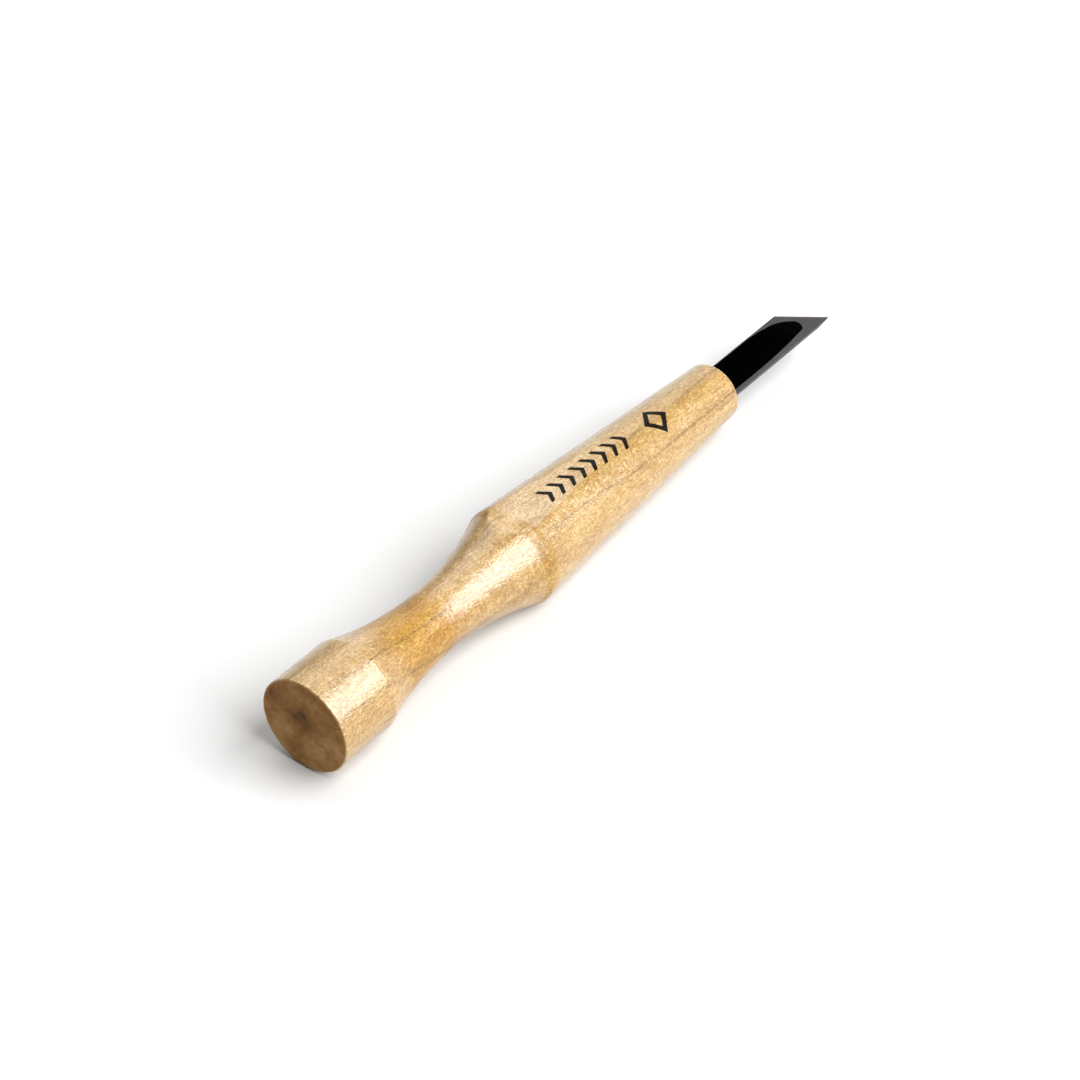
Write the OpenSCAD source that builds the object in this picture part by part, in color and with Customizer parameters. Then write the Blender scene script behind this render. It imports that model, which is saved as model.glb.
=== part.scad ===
// Skew chip carving knife: a short laminated blade, hollow on its upper
// face and bevelled beneath, glued into a one-piece turned wooden handle.
//
// Frame: +X runs along the handle's turning axis from the butt to the tip,
// +Z is up, square to the blade's upper face. The origin is the centre of
// the flat butt face. Millimetres.

/* [Handle] */
// Length of the handle, butt face to front face
handle_l = 135; // [128:0.5:142]
// Diameter of the cylindrical butt
butt_d = 21; // [20:0.1:22]
// Length of the cylindrical butt
butt_l = 14.7; // [12:0.1:17]
// Radius of the hollow curve along the waist
waist_r = 74; // [70:0.5:90]
// Distance of the shoulder from the butt face
shoulder_x = 63.8; // [61:0.1:66]
// Diameter that the taper and the waist curve meet at
shoulder_d = 22.4; // [21.6:0.1:23]
// Rounding where the waist meets the shoulder
shoulder_round = 2.2; // [1:0.1:4]
// Diameter at the front face
front_d = 13.4; // [13:0.1:14.5]
// Rounding of the front rim
front_round = 0.7; // [0.3:0.1:1]
// Rounding of the butt's rim
butt_round = 0.35; // [0.2:0.05:1]

/* [Flats] */
// Height of each flat above the axis at the shoulder
flat_h = 9.72; // [9.3:0.01:10]

/* [Blade] */
// Width across the blade's upper face
blade_w = 9.8; // [8:0.1:10]
// Thickness of the blade
blade_t = 1.1; // [0.9:0.05:1.5]
// Thickness of the hard steel layer
steel_t = 0.45; // [0.35:0.05:0.6]
// How far each long side leans in towards the underside
side_lean = 0.3; // [0:0.05:0.4]
// Length from the front of the handle to the tip
blade_out = 37.5; // [30:0.5:42]
// How far the edge's heel lies behind the tip, along the blade
skew = 7.2; // [4:0.1:12]
// Bevel angle under the cutting edge, in degrees
bevel = 21; // [18:1:30]
// Depth of the ground hollow in the upper face
hollow_depth = 0.16; // [0.08:0.01:0.25]
// Width of the flat rim beside the hollow on the heel side
rim_left = 0.28; // [0.2:0.02:1]
// Width of the flat rim beside the hollow on the tip side
rim_right = 0.98; // [0.6:0.02:1.6]

/* [Tang] */
// Depth that the full-width blade is seated in the handle
seat_l = 4; // [3:0.5:8]
// Width of the tang
tang_w = 6; // [4:0.5:7]
// Length of the tang behind the seat
tang_l = 38; // [25:1:45]
// Thickness of the glue film around the seat and tang
glue_t = 0.2; // [0.1:0.05:0.3]

/* [Printed mark] */
// Thickness of the ink film
ink_t = 0.06; // [0.04:0.01:0.12]
// Number of chevrons in the printed row
chevrons = 8; // [5:1:9]
// Distance between chevrons along the grip
chevron_pitch = 3.5; // [3:0.05:3.6]
// Height of a chevron across the grip
chevron_h = 4.5; // [3:0.1:4.6]
// Stroke width of the printed shapes
stroke = 0.96; // [0.5:0.02:1]

/* [Hidden] */
$fn = 180;

butt_r = butt_d / 2;
shoulder_r = shoulder_d / 2;
front_r = front_d / 2;

// Taper of the front grip: half-angle, and the distance of its straight
// side from the frame's origin, so that r*cos(taper) + x*sin(taper) = side_h.
taper = atan((shoulder_r - front_r) / (handle_l - shoulder_x));
side_h = shoulder_r * cos(taper) + shoulder_x * sin(taper);

// Centre of the waist's circle, which passes through the end of the butt
// cylinder and through the shoulder: [radius from the axis, x].
chord = norm([shoulder_r - butt_r, shoulder_x - butt_l]);
chord_dir = [shoulder_r - butt_r, shoulder_x - butt_l] / chord;
waist_off = sqrt(waist_r * waist_r - chord * chord / 4);
waist_c = [(shoulder_r + butt_r) / 2, (shoulder_x + butt_l) / 2]
        + waist_off * [chord_dir[1], -chord_dir[0]];

// Centre of the shoulder's rounding, tangent to the waist and the taper.
side_n = [cos(taper), sin(taper)];
side_t = [-sin(taper), cos(taper)];
round_a = side_h - shoulder_round - waist_c * side_n;
round_c = (side_h - shoulder_round) * side_n
        + (waist_c * side_t + sqrt(pow(waist_r + shoulder_round, 2) - round_a * round_a)) * side_t;
round_w = round_c + (waist_c - round_c) * shoulder_round / (waist_r + shoulder_round);
round_s = round_c + shoulder_round * side_n;

// Centre of the front rim's rounding.
rim_c = [(side_h - front_round - (handle_l - front_round) * sin(taper)) / cos(taper),
         handle_l - front_round];

// The flats lean in towards the front, in line with the butt's edge, so
// that the knife lies on its butt and its flat together.
flat_lean = atan((butt_r - flat_h) / (shoulder_x - butt_l));
flat_from = 42;

blade_top = blade_t / 2;
tip_x = handle_l + blade_out;
heel_x = tip_x - skew;
seat_x = handle_l - seat_l;
tang_x = seat_x - tang_l;
edge_turn = atan(skew / blade_w);

// Outline of the turned handle: [radius, x].
module turning() {
    union() {
        difference() {
            polygon([
                [0, 0],
                [butt_r - butt_round, 0],
                [butt_r, butt_round],
                [butt_r, butt_l],
                round_w,
                round_s,
                rim_c + front_round * side_n,
                [rim_c[0], handle_l],
                [0, handle_l]
            ]);
            translate(waist_c) circle(r = waist_r, $fn = 720);
        }
        translate([butt_r - butt_round, butt_round]) circle(r = butt_round, $fn = 48);
        translate(round_c) circle(r = shoulder_round, $fn = 96);
        translate(rim_c) circle(r = front_round, $fn = 48);
    }
}

// Everything beyond one flat, on the side of dir (1 is up, -1 is down).
module beyond_flat(dir, lift = 0) {
    mirror([0, 0, dir < 0 ? 1 : 0])
        translate([butt_l, 0, butt_r + lift])
            rotate([0, flat_lean, 0])
                translate([flat_from - butt_l, -20, 0])
                    cube([120, 40, 20]);
}

module handle_solid() {
    difference() {
        rotate([90, 0, 90]) rotate_extrude() turning();
        beyond_flat(1);
        beyond_flat(-1);
    }
}

// The slot in the handle: a wide seat and a narrow tang hole.
module slot(gap) {
    translate([seat_x - gap, -blade_w / 2 - gap, -blade_t / 2 - gap])
        cube([seat_l + gap + 10, blade_w + 2 * gap, blade_t + 2 * gap]);
    translate([tang_x - gap, -tang_w / 2 - gap, -blade_t / 2 - gap])
        cube([tang_l + gap + 1, tang_w + 2 * gap, blade_t + 2 * gap]);
}

module handle() {
    color([0.86, 0.69, 0.44])
    difference() {
        handle_solid();
        slot(glue_t);
    }
}

// Blade stock between two heights, with leaning sides, from x0 forwards.
module stock(x0, z0, z1) {
    function half(z) = blade_w / 2 - side_lean * (blade_top - z) / blade_t;
    translate([x0, 0, 0])
        rotate([90, 0, 90])
            linear_extrude(height = tip_x - x0 + 2)
                polygon([
                    [-half(z0), z0], [half(z0), z0],
                    [half(z1), z1], [-half(z1), z1]
                ]);
}

// Ahead of the skewed cutting edge, and under the bevel behind it.
module ground_away() {
    translate([tip_x, -blade_w / 2, blade_top])
        rotate([0, 0, edge_turn]) {
            translate([0, -10, -5]) cube([30, 40, 10]);
            rotate([0, -bevel, 0])
                translate([-20, -10, -5]) cube([50, 40, 5]);
        }
}

// Outline of the ground hollow, seen from above: a long strip that leaves a
// narrow rim on the heel side and a wider one on the tip side. Its front end
// is one blunt nose; the heel side curves in early, so that the nose follows
// the skewed edge.
module hollow_outline() {
    left = blade_w / 2 - rim_left;
    right = -blade_w / 2 + rim_right;
    nose = tip_x - skew + 1.3;
    intersection() {
        translate([handle_l - 0.4, right]) square([nose + 2 - handle_l + 0.4, left - right]);
        union() {
            translate([0, -blade_w]) square([nose - 13.8, 2 * blade_w]);
            translate([nose - 13.8, left - 39]) circle(r = 39, $fn = 720);
        }
        union() {
            translate([0, -blade_w]) square([nose - 6.9, 2 * blade_w]);
            translate([nose - 6.9, left - 8.92]) circle(r = 8.15, $fn = 360);
        }
        union() {
            translate([0, -blade_w]) square([nose - 20.6, 2 * blade_w]);
            translate([nose - 20.6, right + 166]) circle(r = 166, $fn = 1440);
        }
        union() {
            translate([0, -blade_w]) square([nose - 3.2, 2 * blade_w]);
            translate([nose - 3.2, -0.2]) circle(r = 3.2);
        }
    }
}

// The hollow itself: a shallow trough along the blade, within that outline.
module hollow() {
    half = (blade_w - rim_left - rim_right) / 2 + 0.3;
    r = (half * half + hollow_depth * hollow_depth) / (2 * hollow_depth);
    intersection() {
        translate([0, 0, blade_top - 2 * hollow_depth])
            linear_extrude(height = 1 + 2 * hollow_depth) hollow_outline();
        translate([handle_l - 10, (rim_right - rim_left) / 2, blade_top - hollow_depth + r])
            rotate([0, 90, 0]) cylinder(r = r, h = blade_out + 20, $fn = 720);
    }
}

module blade_steel() {
    color([0.33, 0.34, 0.35])
    difference() {
        stock(seat_x, blade_top - steel_t, blade_top);
        ground_away();
        hollow();
    }
}

module blade_iron() {
    color([0.42, 0.42, 0.43])
    difference() {
        union() {
            stock(seat_x, -blade_top, blade_top - steel_t);
            translate([tang_x, -tang_w / 2, -blade_top])
                cube([tang_l, tang_w, blade_t]);
        }
        ground_away();
    }
}

module tang_glue() {
    color([0.78, 0.66, 0.40])
    difference() {
        intersection() {
            slot(glue_t);
            translate([tang_x - 5, -20, -20]) cube([handle_l - 0.4 - tang_x + 5, 40, 40]);
        }
        stock(seat_x, -blade_top, blade_top);
        translate([tang_x, -tang_w / 2, -blade_top]) cube([tang_l + 1, tang_w, blade_t]);
    }
}

// One printed chevron, its point forwards.
module chevron() {
    w = 1.35;
    polygon([
        [w, 0], [-w + stroke, chevron_h / 2], [-w, chevron_h / 2],
        [w - stroke * 1.3, 0], [-w, -chevron_h / 2], [-w + stroke, -chevron_h / 2]
    ]);
}

// A plain open lozenge that ends the row.
module lozenge() {
    a = 3.6;
    b = 3.4;
    k = 1.3;
    difference() {
        polygon([[a, 0], [0, b], [-a, 0], [0, -b]]);
        polygon([[a - k * 1.25, 0], [0, b - k], [-a + k * 1.25, 0], [0, -b + k]]);
    }
}

module print_mark() {
    color([0.06, 0.06, 0.06])
    intersection() {
        difference() {
            intersection() {
                scale_shell(ink_t);
                translate([60, -8, 4]) cube([60, 16, 8]);
            }
            handle_solid();
        }
        translate([75, -0.95, 4]) rotate([0, 0, -1.2]) linear_extrude(height = 8) {
            for (i = [0 : chevrons - 1]) translate([i * chevron_pitch, 0]) chevron();
            translate([chevrons * chevron_pitch + 7.5, -0.4]) lozenge();
        }
    }
}

// The front grip made thicker by an even film.
module scale_shell(film) {
    difference() {
        rotate([90, 0, 90]) rotate_extrude()
            polygon([
                [0, shoulder_x], [(side_h + film - shoulder_x * sin(taper)) / cos(taper), shoulder_x],
                [(side_h + film - handle_l * sin(taper)) / cos(taper), handle_l], [0, handle_l]
            ]);
        beyond_flat(1, film);
    }
}

handle();
blade_steel();
blade_iron();
tang_glue();
print_mark();
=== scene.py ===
import bpy
import bmesh
import math
from mathutils import Vector, Matrix, geometry


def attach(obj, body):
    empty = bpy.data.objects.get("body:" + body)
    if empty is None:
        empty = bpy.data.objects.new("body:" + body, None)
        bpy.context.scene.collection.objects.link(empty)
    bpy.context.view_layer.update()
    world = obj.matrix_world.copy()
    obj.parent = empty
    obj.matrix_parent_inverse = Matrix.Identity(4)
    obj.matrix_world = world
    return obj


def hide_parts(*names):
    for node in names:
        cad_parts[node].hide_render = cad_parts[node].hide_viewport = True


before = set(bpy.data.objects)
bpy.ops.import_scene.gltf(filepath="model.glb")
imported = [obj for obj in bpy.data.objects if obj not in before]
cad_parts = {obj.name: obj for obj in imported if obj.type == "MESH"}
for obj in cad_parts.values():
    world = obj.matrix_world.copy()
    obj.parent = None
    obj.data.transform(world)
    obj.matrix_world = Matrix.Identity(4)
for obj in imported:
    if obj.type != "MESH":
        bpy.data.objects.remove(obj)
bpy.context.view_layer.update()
scene = bpy.context.scene

MM = 0.001

# --------------------------------------------------------------- sizes, mm
HANDLE_L = 135.0
BUTT_R = 10.5
BUTT_L = 14.7
WAIST_R = 74.0
SHOULDER_X = 63.8
SHOULDER_R = 11.2
SHOULDER_ROUND = 2.2
FRONT_R = 6.7
FRONT_ROUND = 0.7
BUTT_ROUND = 0.35
FLAT_H = 9.72
BLADE_W = 9.8
BLADE_T = 1.1
STEEL_T = 0.45
LEAN = 0.3
TIP_X = 172.5
SKEW = 7.2
BEVEL = math.radians(21.0)
HOLLOW = 0.16
RIM_L = 0.28
RIM_R = 0.98
SEAT_X = 131.0
TANG_X = 93.0
TANG_W = 6.0
GLUE = 0.2
HEEL_X = TIP_X - SKEW
TOP = BLADE_T / 2


# ------------------------------------------------------------ mesh helpers
def add_object(name, me):
    ob = bpy.data.objects.new(name, me)
    scene.collection.objects.link(ob)
    return ob


def mesh_from(name, verts, faces, smooth=True, sharp=35.0):
    me = bpy.data.meshes.new(name)
    me.from_pydata([(v[0] * MM, v[1] * MM, v[2] * MM) for v in verts], [], faces)
    me.validate()
    bm = bmesh.new()
    bm.from_mesh(me)
    bmesh.ops.recalc_face_normals(bm, faces=bm.faces)
    bm.to_mesh(me)
    bm.free()
    if smooth:
        me.shade_smooth()
        me.set_sharp_from_angle(angle=math.radians(sharp))
    me.update()
    return me


def arc(cx, cr, rad, a0, a1, n):
    """Points (x, r) on an arc, angles in degrees from +x towards +r."""
    out = []
    for i in range(n + 1):
        a = math.radians(a0 + (a1 - a0) * i / n)
        out.append((cx + rad * math.cos(a), cr + rad * math.sin(a)))
    return out


# ------------------------------------------------------------- the handle
def handle_outline():
    """The turned outline from the butt's face to the front face, as (x, r)."""
    taper = math.atan((SHOULDER_R - FRONT_R) / (HANDLE_L - SHOULDER_X))
    ct, st = math.cos(taper), math.sin(taper)
    side_h = SHOULDER_R * ct + SHOULDER_X * st
    # centre of the waist's circle, as (x, r)
    dr, dx = SHOULDER_R - BUTT_R, SHOULDER_X - BUTT_L
    chord = math.hypot(dr, dx)
    off = math.sqrt(WAIST_R ** 2 - chord ** 2 / 4)
    wr = (SHOULDER_R + BUTT_R) / 2 + off * dx / chord
    wx = (SHOULDER_X + BUTT_L) / 2 - off * dr / chord
    # rounding of the shoulder, tangent to the waist and the taper
    f = SHOULDER_ROUND
    wn = wr * ct + wx * st
    wt = -wr * st + wx * ct
    a = side_h - f - wn
    tt = wt + math.sqrt((WAIST_R + f) ** 2 - a * a)
    rr = (side_h - f) * ct - tt * st
    rx = (side_h - f) * st + tt * ct
    # angles, from +x towards +r
    neck = math.degrees(math.atan2(BUTT_R - wr, BUTT_L - wx))
    to_round = math.degrees(math.atan2(rr - wr, rx - wx))
    pts = []
    pts += arc(BUTT_ROUND, BUTT_R - BUTT_ROUND, BUTT_ROUND, 180, 90, 6)
    n = 26
    for i in range(1, n):
        pts.append((BUTT_ROUND + (BUTT_L - 0.2 - BUTT_ROUND) * i / n, BUTT_R))
    # the crisp corner at the neck, eased by a hair's breadth
    wa = arc(wx, wr, WAIST_R, neck, to_round, 150)
    pts += [(BUTT_L - 0.2, BUTT_R), (BUTT_L - 0.1, BUTT_R - 0.004), (BUTT_L - 0.02, BUTT_R - 0.022)]
    pts += [(BUTT_L + 0.1, BUTT_R - 0.062)]
    pts += [p for p in wa if p[0] > BUTT_L + 0.22]
    start = to_round - 180 if to_round > 0 else to_round + 180
    pts += arc(rx, rr, f, start, 90 - math.degrees(taper), 12)[1:]
    # the taper
    x1 = rx + f * st
    rim_x = HANDLE_L - FRONT_ROUND
    rim_r = (side_h - FRONT_ROUND - rim_x * st) / ct
    x2 = rim_x + FRONT_ROUND * st
    n = 120
    for i in range(1, n):
        x = x1 + (x2 - x1) * i / n
        pts.append((x, (side_h - x * st) / ct))
    pts += arc(rim_x, rim_r, FRONT_ROUND, 90 - math.degrees(taper), 0, 8)
    return pts


def smin(a, b, k):
    d = max(k - abs(a - b), 0.0)
    return min(a, b) - d * d / (4 * k)


def flat_height(x):
    return BUTT_R - (x - BUTT_L) * (BUTT_R - FLAT_H) / (SHOULDER_X - BUTT_L)


def make_handle():
    n = 384
    loops = []

    def ring(x, r):
        out = []
        for j in range(n):
            a = 2 * math.pi * j / n          # from +Z towards +Y
            y, z = r * math.sin(a), r * math.cos(a)
            if x > 42:
                h = flat_height(x)
                z = smin(z, h, 0.26) if z > 0 else -smin(-z, h, 0.26)
            out.append((x, y, z))
        return out

    outline = handle_outline()
    # the butt's face: rings from near its centre to the rim, all at x = 0
    for r in (0.4, 1.0, 1.8, 2.8, 4.0, 5.2, 6.4, 7.6, 8.6, 9.4, 9.9):
        loops.append(ring(0.0, r))
    for x, r in outline:
        loops.append(ring(x, r))
    # front face, drawn in to the slot's mouth, then down the slot
    k = round(math.degrees(math.atan2(BLADE_W / 2 + GLUE, BLADE_T / 2 + GLUE)) / (360 / n))
    q = n // 4

    def box_ring(x, hy, hz):
        out = []
        for j in range(n):
            if j <= k:
                y, z = hy * j / k, hz
            elif j <= 2 * q - k:
                y, z = hy, hz - 2 * hz * (j - k) / (2 * q - 2 * k)
            elif j <= 2 * q + k:
                y, z = hy - 2 * hy * (j - (2 * q - k)) / (2 * k), -hz
            elif j <= 4 * q - k:
                y, z = -hy, -hz + 2 * hz * (j - (2 * q + k)) / (2 * q - 2 * k)
            else:
                y, z = -hy + hy * (j - (4 * q - k)) / k, hz
            out.append((x, y, z))
        return out

    outer = loops[-1]
    hy, hz = BLADE_W / 2 + GLUE, BLADE_T / 2 + GLUE
    mouth = box_ring(HANDLE_L, hy, hz)
    for t in (0.3, 0.6, 0.85):
        loops.append([tuple(o[i] + (m[i] - o[i]) * t for i in range(3)) for o, m in zip(outer, mouth)])
    loops.append(box_ring(HANDLE_L, hy + 0.05, hz + 0.05))
    loops.append(box_ring(HANDLE_L - 0.05, hy, hz))
    loops.append(box_ring(SEAT_X - GLUE, hy, hz))
    loops.append(box_ring(SEAT_X - GLUE, TANG_W / 2 + GLUE, hz))
    loops.append(box_ring(TANG_X - GLUE, TANG_W / 2 + GLUE, hz))
    verts = [p for lp in loops for p in lp]
    faces = []
    for i in range(len(loops) - 1):
        for j in range(n):
            a, b = i * n + j, i * n + (j + 1) % n
            faces.append((a, b, b + n, a + n))
    c0 = len(verts)
    verts.append((0.0, 0.0, 0.0))
    for j in range(n):
        faces.append((c0, (j + 1) % n, j))
    c1 = len(verts)
    verts.append((TANG_X - GLUE, 0.0, 0.0))
    base = (len(loops) - 1) * n
    for j in range(n):
        faces.append((c1, base + j, base + (j + 1) % n))
    me = mesh_from("handle_turned", verts, faces, sharp=48.0)
    return add_object("handle_turned", me)


# -------------------------------------------------------------- the blade
EDGE_DIR = Vector((-SKEW, BLADE_W, 0)).normalized()      # from the tip to the heel
EDGE_BACK = Vector((-BLADE_W, -SKEW, 0)).normalized()    # square to it, backwards


def half_width(z):
    return BLADE_W / 2 - LEAN * (TOP - z) / BLADE_T


def edge_x(y, back):
    """x on the line that runs parallel to the cutting edge, back mm behind it."""
    p = Vector((TIP_X, -BLADE_W / 2, 0)) + EDGE_BACK * back
    return p.x + EDGE_DIR.x * (y - p.y) / EDGE_DIR.y


def section(x0, z, ease=0.0):
    """The blade's outline at height z: four corners."""
    h = half_width(z) - ease
    back = (TOP - z) / math.tan(BEVEL)
    return [(x0, -h, z), (edge_x(-h, back), -h, z), (edge_x(h, back), h, z), (x0, h, z)]


def hollow_outline():
    """The ground hollow's outline: the same arcs as the blade's own."""
    left, right = BLADE_W / 2 - RIM_L, -BLADE_W / 2 + RIM_R
    nose = TIP_X - SKEW + 1.3
    x0 = HANDLE_L - 0.4
    tip_y = -0.55

    def inside(x, y):
        if x < x0 or not (right < y < left) or x > nose:
            return False
        if x > nose - 13.8 and math.hypot(x - (nose - 13.8), y - (left - 39)) > 39:
            return False
        if x > nose - 6.9 and math.hypot(x - (nose - 6.9), y - (left - 8.92)) > 8.15:
            return False
        if x > nose - 20.6 and math.hypot(x - (nose - 20.6), y - (right + 166)) > 166:
            return False
        if x > nose - 3.2 and math.hypot(x - (nose - 3.2), y + 0.2) > 3.2:
            return False
        return True

    def edge(x, sign):
        lo, hi = 0.0, 8.0
        for _ in range(40):
            mid = (lo + hi) / 2
            if inside(x, tip_y + sign * mid):
                lo = mid
            else:
                hi = mid
        return tip_y + sign * lo

    n = 150
    xs = [x0 + 0.001 + (nose - 0.03 - x0 - 0.001) * (1 - (1 - i / n) ** 2.2) for i in range(n + 1)]
    upper = [(x, edge(x, 1)) for x in reversed(xs)]
    lower = [(x, edge(x, -1)) for x in xs]
    y_a, y_b = upper[-1][1], lower[0][1]
    mouth = [(xs[0], y_a + (y_b - y_a) * i / 20) for i in range(1, 20)]
    return upper + mouth + lower, x0, nose


def make_steel():
    loop, hx0, nose = hollow_outline()
    z_low = TOP - STEEL_T
    low = section(SEAT_X, z_low)
    eased = section(SEAT_X, TOP - 0.035)
    # the two long arrises are eased a little; the cutting edge stays sharp
    h = BLADE_W / 2 - 0.035
    top = [(SEAT_X, -h, TOP), (edge_x(-h, 0), -h, TOP), (edge_x(h, 0), h, TOP), (SEAT_X, h, TOP)]
    verts = low + eased + top
    faces = [(0, 1, 2, 3)]
    for a, b in ((0, 4), (4, 8)):
        for j in range(4):
            j2 = (j + 1) % 4
            faces.append((a + j, a + j2, b + j2, b + j))
    mats = [0] * len(faces)
    # rim: the flat between the outline and the hollow
    ring0 = len(verts)
    verts += [(x, y, TOP) for x, y in loop]
    m = len(loop)
    polys = [[Vector(v) for v in top], [Vector((x, y, TOP)) for x, y in loop]]
    index = [8, 9, 10, 11] + [ring0 + i for i in range(m)]
    for tri in geometry.tessellate_polygon(polys):
        faces.append(tuple(index[i] for i in tri))
        mats.append(0)
    # hollow: rings drawn in towards its middle line, along a shallow curve
    steps = 14
    x_a, x_b = hx0 + 2.0, nose - 4.2
    prev = list(range(ring0, ring0 + m))
    for s in range(1, steps + 1):
        t = s / steps
        cur = []
        for i, (x, y) in enumerate(loop):
            mx = min(max(x, x_a), x_b)
            my = 0.1
            px, py = x + (mx - x) * t * 0.97, y + (my - y) * t * 0.97
            z = TOP - HOLLOW * (1 - (1 - t * 0.97) ** 2)
            if s < steps:
                cur.append(len(verts))
                verts.append((px, py, z))
            else:
                cur.append(len(verts))
                verts.append((px, py, z))
        for i in range(m):
            i2 = (i + 1) % m
            faces.append((prev[i], prev[i2], cur[i2], cur[i]))
            mats.append(1)
        prev = cur
    faces.append(tuple(prev))
    mats.append(1)
    me = bpy.data.meshes.new("blade_hard_steel")
    me.from_pydata([(v[0] * MM, v[1] * MM, v[2] * MM) for v in verts], [], faces)
    for p, k in zip(me.polygons, mats):
        p.material_index = k
    bm = bmesh.new()
    bm.from_mesh(me)
    bmesh.ops.recalc_face_normals(bm, faces=bm.faces)
    for f in bm.faces:
        f.smooth = f.material_index == 1
    bmesh.ops.triangulate(bm, faces=[f for f in bm.faces if len(f.verts) > 4])
    bm.to_mesh(me)
    bm.free()
    me.update()
    return add_object("blade_hard_steel", me)


def make_iron():
    z_hi = TOP - STEEL_T
    e = 0.05
    rows = [section(SEAT_X, -TOP, e), section(SEAT_X, -TOP + e), section(SEAT_X, z_hi)]
    verts, faces = [], []
    for r in rows:
        verts += r
    faces.append((3, 2, 1, 0))
    for a in (0, 4):
        for j in range(4):
            j2 = (j + 1) % 4
            faces.append((a + j, a + j2, a + 4 + j2, a + 4 + j))
    faces.append((8, 9, 10, 11))
    # the tang, let into the back of the bar
    b = len(verts)
    t2 = TANG_W / 2
    for x, y2, z2 in ((TANG_X, t2 - 0.6, TOP - 0.3), (TANG_X + 2.5, t2, TOP), (SEAT_X + 0.001, t2, TOP)):
        verts += [(x, -y2, -z2), (x, y2, -z2), (x, y2, z2), (x, -y2, z2)]
    faces.append((b, b + 1, b + 2, b + 3))
    for a in (b, b + 4):
        for j in range(4):
            j2 = (j + 1) % 4
            faces.append((a + j, a + 4 + j, a + 4 + j2, a + j2))
    faces.append((b + 8, b + 11, b + 10, b + 9))
    me = mesh_from("blade_soft_iron", verts, faces, smooth=False)
    return add_object("blade_soft_iron", me)


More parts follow.
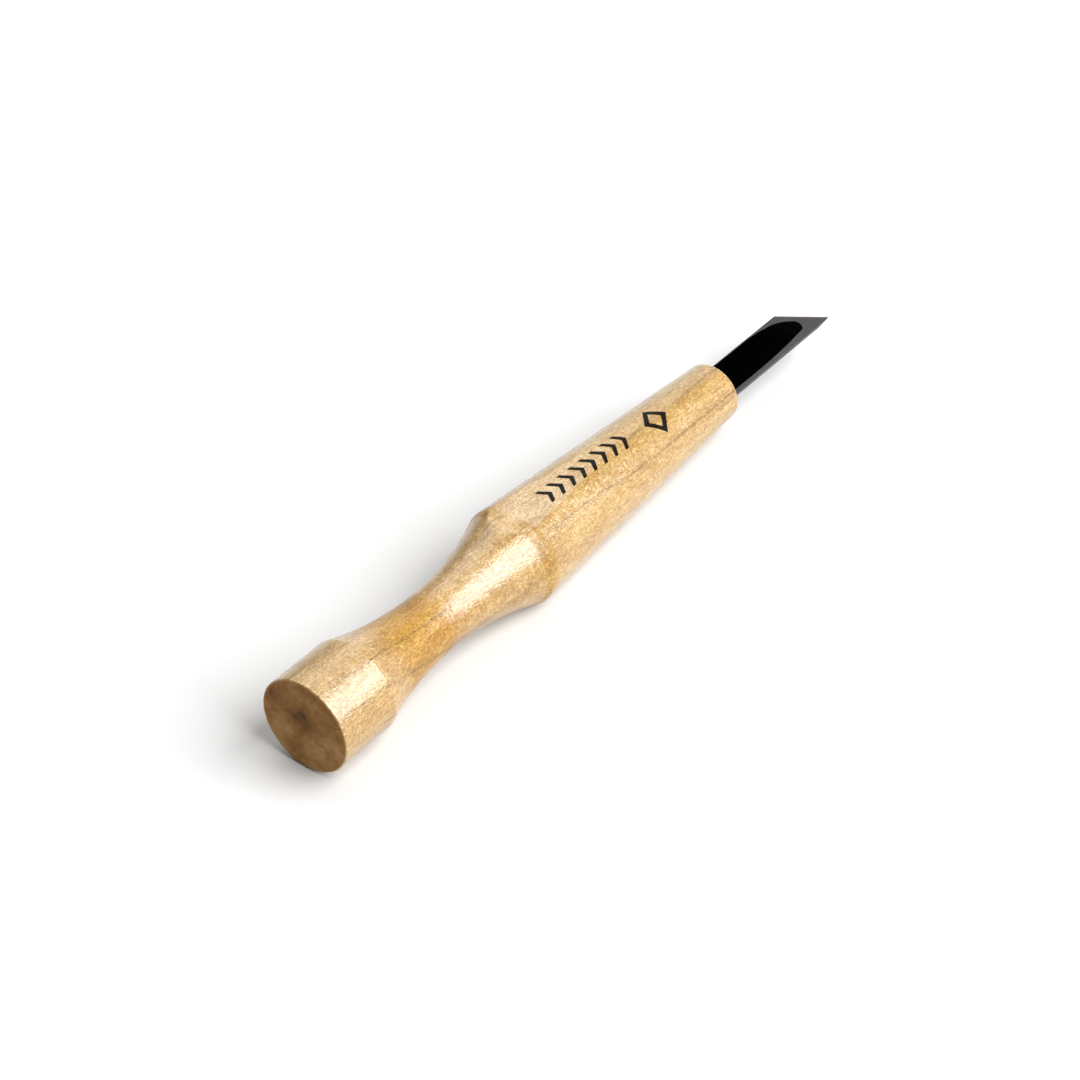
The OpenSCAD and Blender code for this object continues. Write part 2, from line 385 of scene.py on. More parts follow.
# -------------------------------------------------------- material helpers
class Mat:
    def __init__(self, name):
        self.m = bpy.data.materials.new(name)
        self.m.use_nodes = True
        self.t = self.m.node_tree
        self.t.nodes.clear()
        self.out = self.t.nodes.new("ShaderNodeOutputMaterial")
        self.bsdf = self.t.nodes.new("ShaderNodeBsdfPrincipled")
        self.t.links.new(self.bsdf.outputs[0], self.out.inputs[0])
        tc = self.t.nodes.new("ShaderNodeTexCoord")
        self.obj = self.vmath("SCALE", tc.outputs["Object"], scale=1000.0)
        sep = self.t.nodes.new("ShaderNodeSeparateXYZ")
        self.t.links.new(self.obj, sep.inputs[0])
        self.x, self.y, self.z = sep.outputs

    def put(self, sock, v):
        if isinstance(v, bpy.types.NodeSocket):
            self.t.links.new(v, sock)
        elif v is not None:
            sock.default_value = v

    def vmath(self, op, a, b=None, scale=None):
        n = self.t.nodes.new("ShaderNodeVectorMath")
        n.operation = op
        self.put(n.inputs[0], a)
        if b is not None:
            self.put(n.inputs[1], b)
        if scale is not None:
            self.put(n.inputs["Scale"], scale)
        return n.outputs[0] if op not in ("DOT_PRODUCT", "LENGTH", "DISTANCE") else n.outputs["Value"]

    def math(self, op, a, b=None, c=None, clamp=False):
        n = self.t.nodes.new("ShaderNodeMath")
        n.operation = op
        n.use_clamp = clamp
        self.put(n.inputs[0], a)
        if b is not None:
            self.put(n.inputs[1], b)
        if c is not None:
            self.put(n.inputs[2], c)
        return n.outputs[0]

    def add(self, a, b):
        return self.math("ADD", a, b)

    def sub(self, a, b):
        return self.math("SUBTRACT", a, b)

    def mul(self, a, b):
        return self.math("MULTIPLY", a, b)

    def noise(self, vec, scale, detail=3.0, rough=0.5, distort=0.0):
        n = self.t.nodes.new("ShaderNodeTexNoise")
        self.put(n.inputs["Vector"], vec)
        n.inputs["Scale"].default_value = scale
        n.inputs["Detail"].default_value = detail
        n.inputs["Roughness"].default_value = rough
        n.inputs["Distortion"].default_value = distort
        return n.outputs[0]

    def voronoi(self, vec, scale, feature="F1", rnd=1.0):
        n = self.t.nodes.new("ShaderNodeTexVoronoi")
        n.feature = feature
        self.put(n.inputs["Vector"], vec)
        n.inputs["Scale"].default_value = scale
        n.inputs["Randomness"].default_value = rnd
        return n.outputs

    def comb(self, x, y, z):
        n = self.t.nodes.new("ShaderNodeCombineXYZ")
        for i, v in enumerate((x, y, z)):
            self.put(n.inputs[i], v)
        return n.outputs[0]

    def ramp(self, fac, stops, interp="LINEAR"):
        n = self.t.nodes.new("ShaderNodeValToRGB")
        n.color_ramp.interpolation = interp
        e = n.color_ramp.elements
        while len(e) < len(stops):
            e.new(0.5)
        for k, (p, c) in enumerate(stops):
            e[k].position = p
            e[k].color = (c, c, c, 1) if isinstance(c, (int, float)) else (*c, 1)
        self.put(n.inputs[0], fac)
        return n.outputs[0]

    def smooth(self, v, lo, hi):
        n = self.t.nodes.new("ShaderNodeMapRange")
        n.interpolation_type = "SMOOTHSTEP"
        self.put(n.inputs["Value"], v)
        n.inputs["From Min"].default_value = lo
        n.inputs["From Max"].default_value = hi
        return n.outputs[0]

    def maprange(self, v, a, b, c, d, clamp=True):
        n = self.t.nodes.new("ShaderNodeMapRange")
        n.clamp = clamp
        self.put(n.inputs["Value"], v)
        for k, x in (("From Min", a), ("From Max", b), ("To Min", c), ("To Max", d)):
            n.inputs[k].default_value = x
        return n.outputs[0]

    def mix(self, fac, a, b, blend="MIX"):
        n = self.t.nodes.new("ShaderNodeMix")
        n.data_type = "RGBA"
        n.blend_type = blend
        n.clamp_factor = True
        self.put(n.inputs[0], fac)
        for s, v in ((n.inputs[6], a), (n.inputs[7], b)):
            self.put(s, (*v, 1) if isinstance(v, tuple) and len(v) == 3 else v)
        return n.outputs[2]

    def bump(self, height, strength, dist, normal=None):
        n = self.t.nodes.new("ShaderNodeBump")
        n.inputs["Strength"].default_value = strength
        n.inputs["Distance"].default_value = dist
        self.put(n.inputs["Height"], height)
        if normal is not None:
            self.put(n.inputs["Normal"], normal)
        return n.outputs[0]

    def curve(self, v, pts):
        """A smooth float curve of v; pts are (in, out) in 0..1."""
        n = self.t.nodes.new("ShaderNodeFloatCurve")
        cm = n.mapping.curves[0]
        while len(cm.points) < len(pts):
            cm.points.new(0.5, 0.5)
        for p, (a, b) in zip(cm.points, pts):
            p.location = (a, b)
            p.handle_type = "AUTO"
        n.mapping.update()
        self.put(n.inputs["Value"], v)
        return n.outputs[0]

    def set(self, **kw):
        names = {"base": "Base Color", "rough": "Roughness", "metal": "Metallic", "normal": "Normal",
                 "spec": "Specular IOR Level", "coat": "Coat Weight", "coat_rough": "Coat Roughness",
                 "coat_normal": "Coat Normal", "ior": "IOR", "coat_ior": "Coat IOR",
                 "aniso": "Anisotropic", "sheen": "Sheen Weight", "sss": "Subsurface Weight",
                 "sss_radius": "Subsurface Radius", "sss_scale": "Subsurface Scale"}
        for k, v in kw.items():
            s = self.bsdf.inputs[names[k]]
            if isinstance(v, tuple) and len(v) == 3 and k == "base":
                v = (*v, 1)
            self.put(s, v)
        return self


# --------------------------------------------------------------- materials
def wood_material():
    m = Mat("lacquered_hardwood")
    # ring coordinate: across the sheets of growth, which run along the
    # handle and stand nearly edge-on to the upper side of the grip
    s = m.add(m.mul(m.y, -0.801), m.mul(m.z, -0.599))
    c = m.add(m.mul(m.y, -0.599), m.mul(m.z, 0.801))
    drift = m.curve(m.maprange(m.x, 0, 135, 0, 1),
                    [(0.0, 0.053), (0.074, 0.113), (0.148, 0.262), (0.207, 0.373), (0.267, 0.445), (0.40, 0.62),
                     (0.474, 0.69), (0.55, 0.71), (0.63, 0.765), (0.68, 0.858), (0.74, 0.955), (0.85, 0.962), (1.0, 0.975)])
    drift = m.maprange(drift, 0, 1, -3.0, 3.0)
    slow = m.noise(m.comb(m.mul(m.x, 0.08), m.y, m.z), 0.25, 2.0, 0.5)
    fine = m.noise(m.comb(m.mul(m.x, 0.5), m.y, m.z), 1.1, 3.0, 0.55)
    warp = m.add(m.mul(m.sub(slow, 0.5), 0.8), m.mul(m.sub(fine, 0.5), 0.26))
    s0 = m.add(m.sub(s, drift), warp)
    k = m.math("DIVIDE", s0, 6.3)
    fr = m.math("FRACT", m.add(k, 40.0))
    line = m.ramp(fr, [(0.0, 1.0), (0.018, 0.90), (0.040, 0.46), (0.085, 0.22), (0.17, 0.06), (0.24, 0.0), (0.66, 0.0),
                       (0.84, 0.08), (0.93, 0.24), (0.974, 0.50), (1.0, 1.0)])
    twin = m.ramp(fr, [(0.0, 0.0), (0.135, 0.0), (0.16, 0.55), (0.185, 0.0), (0.33, 0.0), (0.345, 0.25),
                       (0.36, 0.0), (0.56, 0.0), (0.575, 0.25), (0.59, 0.0), (1.0, 0.0)])
    # how plainly each ring shows along the handle
    xa = m.maprange(m.x, 0, 135, 0, 1)
    main = m.curve(xa, [(0.0, 0.72), (0.11, 0.78), (0.165, 0.95), (0.27, 1.0), (0.33, 0.55), (0.46, 0.48),
                        (0.50, 0.85), (0.68, 0.92), (1.0, 1.0)])
    above = m.curve(xa, [(0.0, 0.55), (0.10, 0.45), (0.14, 0.0), (0.68, 0.0), (0.78, 0.65), (1.0, 0.85)])
    idx = m.math("ROUND", k)
    is_above = m.math("COMPARE", idx, -1.0, 0.1)
    is_main = m.math("COMPARE", idx, 0.0, 0.1)
    rest_of = m.math("SUBTRACT", 1.0, m.add(is_above, is_main))
    rest_of = m.mul(rest_of, m.curve(xa, [(0.0, 0.75), (0.20, 0.80), (0.33, 0.70), (0.45, 0.40), (0.6, 0.30), (1.0, 0.35)]))
    show = m.add(m.mul(is_above, above), m.add(m.mul(is_main, main), rest_of))
    broken = m.noise(m.comb(m.mul(m.x, 0.22), m.y, m.z), 0.8, 3.0, 0.6)
    show = m.mul(show, m.maprange(broken, 0.35, 0.60, 0.60, 1.10))
    line = m.mul(line, show)
    twin = m.mul(twin, m.mul(m.curve(xa, [(0.0, 0.3), (0.3, 0.3), (0.65, 0.4), (0.8, 1.0), (1.0, 1.0)]), show))
    # short brown streaks where the flat runs out over the shoulder
    def dash(y0, slope, xc, half, wide):
        d = m.math("ABSOLUTE", m.sub(m.y, m.add(m.mul(m.sub(m.x, xc), slope), m.add(y0, m.mul(m.sub(fine, 0.5), 0.7)))))
        d = m.math("SUBTRACT", 1.0, m.smooth(d, wide * 0.25, wide))
        e = m.math("SUBTRACT", 1.0, m.smooth(m.math("ABSOLUTE", m.sub(m.x, xc)), half * 0.5, half))
        return m.mul(d, e)

    a_line = m.math("MAXIMUM", dash(2.5, -0.05, 61.0, 3.6, 0.36), dash(1.2, -0.03, 57.2, 2.8, 0.42))
    a_line = m.math("MAXIMUM", a_line, m.mul(dash(3.4, -0.04, 65.5, 4.5, 0.26), 0.7))
    a_line = m.mul(a_line, m.smooth(m.z, 6.5, 8.0))
    # streaks: long and thin along the grain
    streak = m.noise(m.comb(m.mul(m.x, 0.035), m.y, m.z), 1.5, 4.0, 0.62)
    hair = m.noise(m.comb(m.mul(m.x, 0.07), m.y, m.z), 3.4, 3.0, 0.6)
    broad = m.noise(m.comb(m.mul(m.x, 0.45), m.y, m.z), 0.22, 2.0, 0.5)
    mottle = m.noise(m.comb(m.mul(m.x, 0.6), m.y, m.z), 0.75, 3.0, 0.55)
    # flecks: short bright and dark dashes
    fleck_v = m.comb(m.mul(m.x, 0.62), m.y, m.z)
    fleck = m.noise(fleck_v, 2.1, 2.0, 0.6)
    fleck2 = m.noise(m.vmath("ADD", fleck_v, (17.3, 5.1, 9.7)), 3.6, 2.0, 0.6)
    vor = m.voronoi(m.comb(m.mul(m.x, 0.22), m.y, m.z), 2.6)[0]
    pore = m.math("SUBTRACT", 1.0, m.smooth(vor, 0.04, 0.17))
    line = m.mul(line, m.maprange(m.add(m.mul(fleck, 0.5), m.mul(fleck2, 0.5)), 0.42, 0.58, 1.0, 0.60))
    # fine fibres that run on for centimetres
    fib = m.noise(m.comb(m.mul(m.x, 0.016), m.y, m.z), 2.9, 3.0, 0.55)
    fib = m.math("SUBTRACT", 1.0, m.smooth(m.math("ABSOLUTE", m.sub(fib, 0.5)), 0.004, 0.030))
    fib = m.mul(fib, m.maprange(broken, 0.40, 0.62, 0.15, 1.0))
    # the marks that the lathe and the sanding leave, square to the axis
    lathe = m.noise(m.comb(m.mul(m.x, 1.25), m.mul(m.y, 0.10), m.mul(m.z, 0.10)), 1.0, 3.0, 0.65)
    lathe2 = m.noise(m.comb(m.mul(m.x, 3.1), m.mul(m.y, 0.25), m.mul(m.z, 0.25)), 1.0, 2.0, 0.6)
    # colours, linear
    pale = (0.500, 0.330, 0.120)
    mid = (0.385, 0.224, 0.053)
    amber = (0.270, 0.130, 0.018)
    dark = (0.135, 0.062, 0.003)
    t = m.add(m.mul(m.sub(broad, 0.5), 1.1), m.mul(m.sub(mottle, 0.5), 0.9))
    t = m.add(t, m.mul(m.sub(streak, 0.5), 0.8))
    t = m.add(t, m.curve(xa, [(0.0, 0.42), (0.10, 0.46), (0.17, 0.62), (0.26, 0.66), (0.32, 0.46), (0.46, 0.46), (0.6, 0.40), (1.0, 0.42)]))
    t = m.math("ADD", t, 0.0, clamp=True)
    col = m.ramp(t, [(0.0, pale), (0.5, mid), (1.0, amber)])
    dsum = m.add(m.mul(m.sub(fleck, 0.5), 1.70), m.mul(m.sub(fleck2, 0.5), 1.45))
    dsum = m.add(dsum, m.mul(m.sub(hair, 0.5), 0.7))
    turned = m.curve(xa, [(0.0, 0.30), (0.25, 0.30), (0.31, 0.85), (0.45, 1.0), (0.475, 0.35), (1.0, 0.40)])
    dsum = m.add(dsum, m.mul(turned, m.add(m.mul(m.sub(lathe, 0.5), 0.80), m.mul(m.sub(lathe2, 0.5), 0.95))))
    # bright specks stand out more than dark ones
    lum = m.add(m.mul(m.math("MAXIMUM", dsum, 0.0), 1.25), m.mul(m.math("MINIMUM", dsum, 0.0), 0.80))
    lum = m.math("MAXIMUM", m.math("ADD", lum, 0.985), 0.40)
    col = m.vmath("MULTIPLY", col, m.comb(m.math("POWER", lum, 0.70), m.math("POWER", lum, 1.0), m.math("POWER", lum, 1.9)))
    # a golden tint in the hollow of the waist: fitted, cause unknown
    gold = m.curve(xa, [(0.0, 0.10), (0.11, 0.12), (0.17, 0.45), (0.22, 0.9), (0.28, 1.0), (0.315, 0.25), (0.40, 0.15),
                        (0.455, 0.5), (0.475, 0.12), (1.0, 0.12)])
    gold = m.mul(gold, m.maprange(mottle, 0.3, 0.7, 0.75, 1.2))
    col = m.mix(gold, col, m.vmath("MULTIPLY", col, (1.06, 0.97, 0.56)))
    # the flats are cut after turning and are less polished; their pale, whitish tint is partly their own colour and
    # partly a painted hazy sheen
    flat_z = m.sub(10.7335, m.mul(m.x, 0.015886))
    on_flat = m.smooth(m.sub(m.math("ABSOLUTE", m.z), flat_z), -0.17, -0.05)
    on_flat = m.mul(on_flat, m.smooth(m.x, 50.0, 54.0))
    flat_pale_and_sheen = m.mul(on_flat, m.curve(xa, [(0.0, 0.0), (0.38, 0.85), (0.44, 1.0), (0.53, 0.92), (0.60, 0.62), (0.68, 0.35),
                                        (1.0, 0.2)]))
    fibre = m.noise(m.comb(m.mul(m.x, 0.045), m.mul(m.y, 1.0), 0.0), 2.9, 3.0, 0.7)
    pale_sheen_k = m.maprange(fibre, 0.32, 0.68, 0.74, 1.22)
    # the flats' tint: the whiter part of it is a painted hazy sheen, not the wood's colour
    col = m.mix(flat_pale_and_sheen, col, m.vmath("MULTIPLY", col, m.comb(m.mul(pale_sheen_k, 1.16), m.mul(pale_sheen_k, 1.26), m.mul(pale_sheen_k, 1.95))))
    col = m.mix(m.mul(fib, 0.34), col, amber)
    col = m.mix(m.mul(line, 0.94), col, dark)
    col = m.mix(m.mul(twin, 0.70), col, (0.19, 0.088, 0.012))
    col = m.mix(m.mul(a_line, 0.62), col, (0.20, 0.088, 0.025))
    col = m.mix(m.mul(pore, 0.42), col, (0.20, 0.095, 0.014))
    # end grain: on the two faces square to the axis
    geo = m.t.nodes.new("ShaderNodeNewGeometry")
    seen = m.t.nodes.new("ShaderNodeSeparateXYZ")
    vt = m.t.nodes.new("ShaderNodeVectorTransform")
    vt.vector_type = "NORMAL"
    vt.convert_from, vt.convert_to = "WORLD", "OBJECT"
    m.t.links.new(geo.outputs["Normal"], vt.inputs[0])
    m.t.links.new(vt.outputs[0], seen.inputs[0])
    end = m.smooth(m.math("ABSOLUTE", seen.outputs[0]), 0.80, 0.97)
    rad = m.math("SQRT", m.add(m.mul(m.y, m.y), m.mul(m.z, m.z)))
    e_soft = m.noise(m.comb(0.0, m.y, m.z), 0.20, 3.0, 0.55)
    e_mott = m.noise(m.comb(3.0, m.y, m.z), 0.9, 4.0, 0.65)
    e_dots = m.voronoi(m.comb(0.0, m.y, m.z), 2.6)[0]
    e_pore = m.math("SUBTRACT", 1.0, m.smooth(e_dots, 0.08, 0.30))
    e_ray = m.noise(m.comb(0.0, m.mul(s, 0.10), m.mul(c, 1.0)), 2.4, 3.0, 0.6)
    # a darker patch left of the middle, drawn out along the rings
    sm = m.math("SQRT", m.add(m.math("POWER", m.math("DIVIDE", m.add(s, 1.2), 3.0), 2.0),
                              m.math("POWER", m.math("DIVIDE", m.sub(c, 0.6), 4.6), 2.0)))
    dark_patch = m.math("SUBTRACT", 1.0, m.smooth(m.add(sm, m.mul(m.sub(e_mott, 0.5), 1.2)), 0.1, 1.25))
    e_t = m.add(m.mul(m.sub(e_soft, 0.5), 1.5), m.mul(dark_patch, 0.62))
    # darker towards the top of the end face: painted shade, standing in for the floor lighting the face's lower part
    e_t = m.add(e_t, m.mul(m.smooth(m.z, -7.0, 8.0), 0.34))
    e_t = m.add(e_t, m.mul(m.sub(e_ray, 0.5), 0.55))
    e_t = m.add(e_t, m.mul(m.sub(e_mott, 0.5), 0.75))
    e_t = m.add(e_t, m.mul(line, 0.22))
    e_t = m.math("ADD", e_t, 0.16, clamp=True)
    e_col = m.ramp(e_t, [(0.0, (0.430, 0.240, 0.084)), (0.40, (0.300, 0.136, 0.028)), (0.72, (0.212, 0.089, 0.010)), (1.0, (0.070, 0.026, 0.003))])
    e_col = m.mix(m.mul(e_pore, 0.55), e_col, (0.07, 0.030, 0.010))
    edge = m.smooth(rad, 9.75, 10.4)
    e_col = m.mix(m.mul(edge, 0.55), e_col, (0.46, 0.25, 0.07))
    col = m.mix(end, col, e_col)
    # roughness and relief
    rough = m.maprange(m.add(m.mul(fleck, 0.6), m.mul(streak, 0.4)), 0.3, 0.7, 0.26, 0.42)
    rough = m.add(rough, m.mul(end, 0.25))
    h1 = m.add(m.mul(fleck, 0.6), m.mul(hair, 0.5))
    h1 = m.sub(h1, m.mul(pore, 0.4))
    h1 = m.sub(h1, m.mul(line, 0.10))
    rings = m.noise(m.comb(m.mul(rad, 2.2), 0.0, 0.0), 1.0, 2.0, 0.5)
    h1 = m.add(h1, m.mul(m.mul(rings, end), 0.8))
    n_base = m.bump(h1, 1.0, 0.00014)
    lump = m.noise(m.comb(m.mul(m.x, 0.5), m.y, m.z), 1.1, 2.0, 0.5)
    h2 = m.add(m.mul(lump, 0.7), m.add(m.mul(fleck, 0.55), m.mul(fleck2, 0.35)))
    h2 = m.add(h2, m.add(m.mul(lathe, 0.45), m.mul(lathe2, 0.26)))
    h2 = m.add(h2, m.mul(hair, 0.20))
    n_coat = m.bump(h2, 1.0, 0.00012)
    c_rough = m.maprange(m.add(m.mul(fleck2, 0.5), m.mul(mottle, 0.5)), 0.35, 0.65, 0.11, 0.21)
    c_rough = m.add(c_rough, m.mul(flat_pale_and_sheen, 0.12))
    c_weight = m.maprange(m.add(m.mul(fleck, 0.5), m.mul(fleck2, 0.5)), 0.40, 0.56, 0.70, 1.0)
    c_weight = m.mul(c_weight, m.math("SUBTRACT", 1.0, m.mul(end, 0.97)))
    # weaker gloss in the hollow of the waist: a fitted value, as if handling had dulled it
    dull = m.mul(m.smooth(m.x, 18.5, 24.0), m.math("SUBTRACT", 1.0, m.smooth(m.add(m.x, m.mul(m.sub(mottle, 0.5), 5.0)), 36.0, 39.5)))
    c_weight = m.mul(c_weight, m.math("SUBTRACT", 1.0, m.mul(dull, 0.58)))
    # weaker gloss on the shoulder's ring: a fitted value, as if it were rubbed
    ring = m.mul(m.smooth(m.x, 61.8, 62.6), m.math("SUBTRACT", 1.0, m.smooth(m.x, 64.6, 66.2)))
    c_weight = m.mul(c_weight, m.math("SUBTRACT", 1.0, m.mul(ring, 0.62)))
    m.set(base=col, rough=rough, normal=n_base, spec=0.14,
          coat=c_weight, coat_rough=c_rough, coat_ior=2.0, coat_normal=n_coat)
    return m.m


def steel_nodes(m):
    """Distances that the blade's finishes share."""
    # distance behind the cutting edge, square to it
    ex, ey = EDGE_BACK.x, EDGE_BACK.y
    back = m.add(m.mul(m.sub(m.x, TIP_X), ex), m.mul(m.sub(m.y, -BLADE_W / 2), ey))
    along = m.add(m.mul(m.sub(m.x, TIP_X), EDGE_DIR.x), m.mul(m.sub(m.y, -BLADE_W / 2), EDGE_DIR.y))
    # faces that look sideways, and not up, down or forwards
    geo = m.t.nodes.new("ShaderNodeNewGeometry")
    seen = m.t.nodes.new("ShaderNodeSeparateXYZ")
    vt = m.t.nodes.new("ShaderNodeVectorTransform")
    vt.vector_type = "NORMAL"
    vt.convert_from, vt.convert_to = "WORLD", "OBJECT"
    m.t.links.new(geo.outputs["Normal"], vt.inputs[0])
    m.t.links.new(vt.outputs[0], seen.inputs[0])
    sideways = m.smooth(m.math("ABSOLUTE", seen.outputs[1]), 0.60, 0.85)
    return back, along, sideways


def rim_material():
    m = Mat("ground_hard_steel")
    back, along, sideways = steel_nodes(m)
    # fine grinding lines, nearly square to the blade's length
    g = m.noise(m.comb(m.mul(m.x, 3.0), m.mul(m.y, 0.22), m.mul(m.z, 3.0)), 3.2, 3.0, 0.6)
    g2 = m.noise(m.comb(m.mul(m.x, 0.22), m.mul(m.y, 2.6), m.mul(m.z, 2.6)), 2.6, 3.0, 0.6)
    cloud = m.noise(m.comb(m.mul(m.x, 0.6), m.y, m.z), 0.5, 3.0, 0.55)
    tone = m.add(m.mul(g, 0.5), m.mul(g2, 0.5))
    tone = m.add(m.mul(m.sub(tone, 0.5), 0.9), m.mul(m.sub(cloud, 0.5), 0.7))
    tone = m.math("ADD", tone, 0.5, clamp=True)
    col = m.ramp(tone, [(0.0, (0.046, 0.045, 0.044)), (0.5, (0.070, 0.068, 0.066)), (1.0, (0.112, 0.109, 0.106))])
    # a lighter, warm band along the cutting edge
    edge_band = m.math("SUBTRACT", 1.0, m.smooth(back, 0.12, 0.42))
    col = m.mix(m.mul(edge_band, 0.75), col, (0.30, 0.22, 0.18))
    # darker towards the handle, where the forge scale stays
    scale = m.math("SUBTRACT", 1.0, m.smooth(m.x, 136.0, 158.0))
    col = m.mix(m.mul(scale, 0.35), col, (0.07, 0.07, 0.075))
    # the long sides are left dark, as forged
    below = m.math("SUBTRACT", 1.0, m.smooth(m.z, TOP - 0.10, TOP - 0.03))
    bevel = m.mul(below, m.math("SUBTRACT", 1.0, sideways))
    below = m.mul(below, sideways)
    col = m.mix(m.mul(below, 0.85), col, (0.040, 0.040, 0.042))
    col = m.mix(bevel, col, m.ramp(m.add(m.mul(g, 0.5), m.mul(g2, 0.5)), [(0.3, (0.46, 0.455, 0.45)), (0.7, (0.58, 0.575, 0.57))]))
    rough = m.maprange(tone, 0, 1, 0.30, 0.46)
    nrm = m.bump(m.add(m.mul(g, 0.6), m.mul(g2, 0.4)), 0.30, 0.00003)
    m.set(base=col, metal=1.0, rough=rough, normal=nrm)
    return m.m


def hollow_material():
    m = Mat("black_ground_hollow")
    # grinding arcs around the nose of the hollow
    cx, cy = TIP_X - SKEW - 10.6, -0.2
    r = m.math("SQRT", m.add(m.math("POWER", m.sub(m.x, cx), 2.0), m.math("POWER", m.sub(m.y, cy), 2.0)))
    arcs = m.noise(m.comb(m.mul(r, 3.4), 0.0, 0.0), 1.0, 3.0, 0.6)
    near = m.smooth(m.x, 156.0, 166.5)
    grain = m.noise(m.comb(m.mul(m.x, 0.3), m.mul(m.y, 2.5), m.z), 2.4, 3.0, 0.6)
    v = m.add(m.mul(m.mul(m.smooth(arcs, 0.42, 0.66), near), 0.8), m.mul(grain, 0.12))
    col = m.ramp(v, [(0.0, (0.00004, 0.00004, 0.00004)), (0.28, (0.0001, 0.0001, 0.0001)), (1.0, (0.0085, 0.0085, 0.0090))])
    rough = m.maprange(m.add(m.mul(arcs, 0.5), m.mul(grain, 0.5)), 0.3, 0.7, 0.34, 0.58)
    nrm = m.bump(m.add(m.mul(m.mul(arcs, near), 0.7), m.mul(grain, 0.3)), 0.25, 0.00003)
    m.set(base=col, metal=0.0, rough=rough, normal=nrm, spec=0.05, ior=1.08)
    return m.m


def iron_material():
    m = Mat("soft_iron")
    back, along, sideways = steel_nodes(m)
    g = m.noise(m.comb(m.mul(m.x, 0.2), m.mul(m.y, 2.4), m.mul(m.z, 2.4)), 2.4, 4.0, 0.62)
    across = m.noise(m.comb(m.mul(back, 0.15), m.mul(along, 3.4), 0.0), 2.2, 3.0, 0.6)
    blot = m.noise(m.obj, 0.45, 4.0, 0.6)
    pit = m.voronoi(m.obj, 1.7)[0]
    pits = m.math("SUBTRACT", 1.0, m.smooth(pit, 0.05, 0.22))
    t = m.math("ADD", m.add(m.mul(m.sub(g, 0.5), 0.9), m.mul(m.sub(blot, 0.5), 0.9)), 0.5, clamp=True)
    col = m.ramp(t, [(0.0, (0.040, 0.039, 0.039)), (0.5, (0.068, 0.066, 0.065)), (1.0, (0.115, 0.112, 0.110))])
    col = m.mix(m.mul(pits, 0.5), col, (0.05, 0.047, 0.045))
    # the bevel is ground bright
    bev = m.math("SUBTRACT", 1.0, m.smooth(back, 2.75, 2.95))
    bev = m.mul(bev, m.math("SUBTRACT", 1.0, sideways))
    bright = m.ramp(across, [(0.25, (0.34, 0.335, 0.33)), (0.75, (0.52, 0.515, 0.51))])
    col = m.mix(bev, col, bright)
    rough = m.maprange(t, 0, 1, 0.34, 0.52)
    nrm = m.bump(m.add(m.mul(g, 0.5), m.sub(m.mul(across, 0.4), m.mul(pits, 0.4))), 0.35, 0.00004)
    m.set(base=col, metal=1.0, rough=rough, normal=nrm)
    return m.m


def ink_material():
    m = Mat("printed_ink")
    n = m.noise(m.comb(m.mul(m.x, 0.5), m.y, m.z), 3.2, 3.0, 0.6)
    speck = m.noise(m.comb(m.mul(m.x, 0.35), m.y, m.z), 7.0, 2.0, 0.6)
    col = m.ramp(n, [(0.25, (0.0022, 0.0018, 0.0016)), (0.8, (0.0075, 0.0060, 0.0045))])
    col = m.mix(m.mul(m.smooth(speck, 0.66, 0.80), 0.6), col, (0.10, 0.065, 0.03))
    rough = m.maprange(n, 0.3, 0.7, 0.32, 0.48)
    nrm = m.bump(m.add(m.mul(n, 0.5), m.mul(speck, 0.5)), 0.30, 0.00003)
    m.set(base=col, rough=rough, normal=nrm, spec=0.10)
    return m.m


def glue_material():
    m = Mat("set_glue")
    n = m.noise(m.obj, 1.6, 4.0, 0.6)
    bub = m.voronoi(m.obj, 2.4)[0]
    col = m.ramp(n, [(0.25, (0.20, 0.11, 0.035)), (0.8, (0.42, 0.26, 0.09))])
    col = m.mix(m.mul(m.math("SUBTRACT", 1.0, m.smooth(bub, 0.05, 0.2)), 0.5), col, (0.55, 0.38, 0.18))
    rough = m.maprange(n, 0.3, 0.7, 0.28, 0.45)
    m.set(base=col, rough=rough, normal=m.bump(n, 0.4, 0.00004), coat=0.3, coat_rough=0.2)
    return m.m


# -------------------------------------------------------------- the pieces
wood = wood_material()
rim = rim_material()
black = hollow_material()
iron = iron_material()
ink = ink_material()
glue = glue_material()

handle = make_handle()
handle.data.materials.append(wood)
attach(handle, "root")
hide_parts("handle")

steel = make_steel()
steel.data.materials.append(rim)
steel.data.materials.append(black)
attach(steel, "root")
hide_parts("blade_steel")

soft = make_iron()
soft.data.materials.append(iron)
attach(soft, "root")
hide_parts("blade_iron")


def finish_node(name, mat):
    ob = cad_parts[name]
    if not ob.material_slots:
        ob.data.materials.append(mat)
    for s in ob.material_slots:
        s.material = mat


finish_node("print_mark", ink)
finish_node("tang_glue", glue)

# ------------------------------------------------------- floor and lights
lean = math.atan((BUTT_R - FLAT_H) / (SHOULDER_X - BUTT_L))
up = Vector((-math.sin(lean), 0, math.cos(lean)))
contact = Vector((BUTT_L, 0, -BUTT_R)) * MM - up * 0.00002


def make_floor():
    n, half = 24, 3.0
    bm = bmesh.new()
    rot = Matrix.Rotation(-lean, 4, "Y")
    bmesh.ops.create_grid(bm, x_segments=n, y_segments=n, size=half, matrix=Matrix.Translation(contact) @ rot)
    me = bpy.data.meshes.new("floor")
    bm.to_mesh(me)
    bm.free()
    ob = add_object("floor", me)
    m = Mat("pale_floor")
    g = m.noise(m.obj, 0.02, 3.0, 0.5)
    m.set(base=m.ramp(g, [(0.2, (0.725, 0.725, 0.723)), (0.8, (0.745, 0.745, 0.743))]), rough=0.75, spec=0.15)
    me.materials.append(m.m)
    return ob


make_floor()


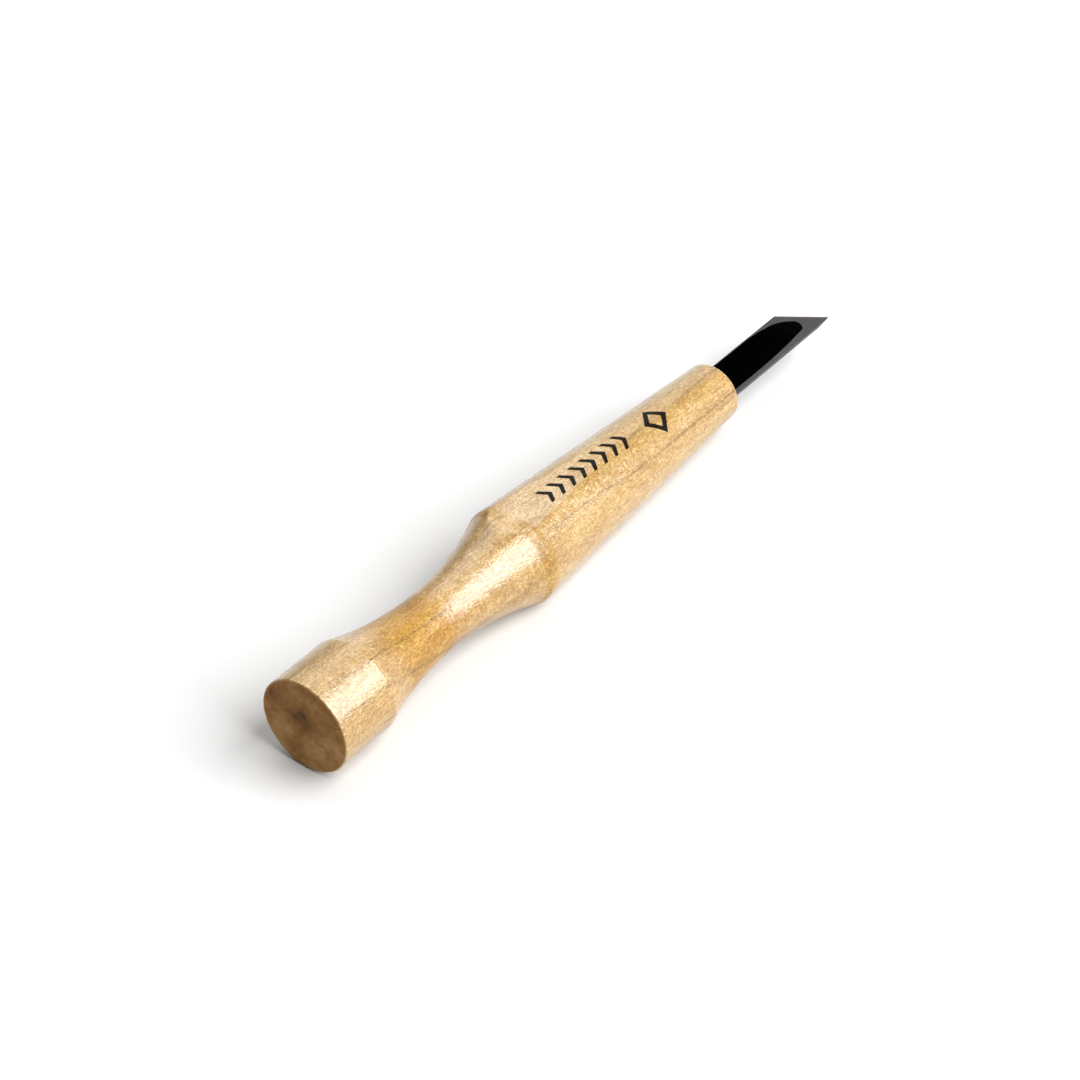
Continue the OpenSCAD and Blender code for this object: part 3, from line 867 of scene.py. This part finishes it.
def area(name, centre, across, size, power, dist=1.1, target=(0.07, 0, 0)):
    """A square softbox: its middle's direction, and the direction of one pair of its edges."""
    d = bpy.data.lights.new(name, "AREA")
    d.shape = "RECTANGLE"
    d.size, d.size_y = size
    d.energy = power
    o = bpy.data.objects.new(name, d)
    scene.collection.objects.link(o)
    w = Vector(centre).normalized()
    u = Vector(across)
    u = (u - w * u.dot(w)).normalized()
    v = w.cross(u)
    p = Vector(target) + w * dist
    o.matrix_world = Matrix(((u.x, v.x, w.x, p.x), (u.y, v.y, w.y, p.y), (u.z, v.z, w.z, p.z), (0, 0, 0, 1)))
    return o


area("key_softbox", (0.199, -0.697, 0.693), (0.971, 0.169, -0.167), (1.19, 1.22), 28.0)
area("overhead", (0.36, 0.42, 0.83), (0.8, -0.6, 0.0), (1.15, 1.15), 7.6, dist=1.2)

world = bpy.data.worlds.new("studio")
scene.world = world
world.use_nodes = True
wt = world.node_tree
wt.nodes.clear()
w_out = wt.nodes.new("ShaderNodeOutputWorld")
w_mix = wt.nodes.new("ShaderNodeMixShader")
w_lit = wt.nodes.new("ShaderNodeBackground")
w_see = wt.nodes.new("ShaderNodeBackground")
w_path = wt.nodes.new("ShaderNodeLightPath")
w_tc = wt.nodes.new("ShaderNodeTexCoord")
w_sep = wt.nodes.new("ShaderNodeSeparateXYZ")
wt.links.new(w_tc.outputs["Generated"], w_sep.inputs[0])


def w_math(op, a, b=None, c=None, clamp=False):
    n = wt.nodes.new("ShaderNodeMath")
    n.operation = op
    n.use_clamp = clamp
    for k, v in enumerate((a, b, c)):
        if isinstance(v, bpy.types.NodeSocket):
            wt.links.new(v, n.inputs[k])
        elif v is not None:
            n.inputs[k].default_value = v
    return n.outputs[0]


def w_smooth(v, lo, hi, a, b):
    n = wt.nodes.new("ShaderNodeMapRange")
    n.interpolation_type = "SMOOTHSTEP"
    wt.links.new(v, n.inputs["Value"])
    for k, x in (("From Min", lo), ("From Max", hi), ("To Min", a), ("To Max", b)):
        n.inputs[k].default_value = x
    return n.outputs[0]


# a dim room, with a white sweep standing behind the knife
ahead = w_math("ADD", w_math("MULTIPLY", w_sep.outputs[0], 0.79), w_math("MULTIPLY", w_sep.outputs[1], 0.61))
sweep = w_math("MULTIPLY", w_smooth(ahead, -0.1, 0.5, 0.0, 1.0), w_smooth(w_sep.outputs[2], 0.26, 0.50, 1.0, 0.0))
sweep = w_math("MULTIPLY", sweep, w_smooth(w_sep.outputs[0], 0.45, 0.90, 0.28, 1.55))
side = w_smooth(w_sep.outputs[0], -0.5, 0.8, 0.055, 0.10)
level = w_math("ADD", side, sweep)
wt.links.new(level, w_lit.inputs[1])
w_lit.inputs[0].default_value = (1.0, 1.0, 1.0, 1)
w_see.inputs[0].default_value = (0.96, 0.96, 0.96, 1)
w_see.inputs[1].default_value = 1.0
wt.links.new(w_path.outputs["Is Camera Ray"], w_mix.inputs[0])
wt.links.new(w_lit.outputs[0], w_mix.inputs[1])
wt.links.new(w_see.outputs[0], w_mix.inputs[2])
wt.links.new(w_mix.outputs[0], w_out.inputs[0])

# ---------------------------------------------------------------- camera
right = Vector((0.6087, -0.7934, 0.0)).normalized()
look = Vector((0.6152, 0.4721, -0.6314)).normalized()
upv = right.cross(look).normalized()
right = look.cross(upv).normalized()
cam_data = bpy.data.cameras.new("camera")
cam_data.sensor_width = 36.0
cam_data.lens = 110.0
cam_data.clip_start, cam_data.clip_end = 0.01, 20.0
cam = bpy.data.objects.new("camera", cam_data)
scene.collection.objects.link(cam)
cam.matrix_world = Matrix((
    (right.x, upv.x, -look.x, -0.3411),
    (right.y, upv.y, -look.y, -0.3183),
    (right.z, upv.z, -look.z, 0.4239),
    (0, 0, 0, 1)))
scene.camera = cam

scene.view_settings.view_transform = "Standard"
scene.view_settings.look = "None"
scene.view_settings.exposure = 0.0
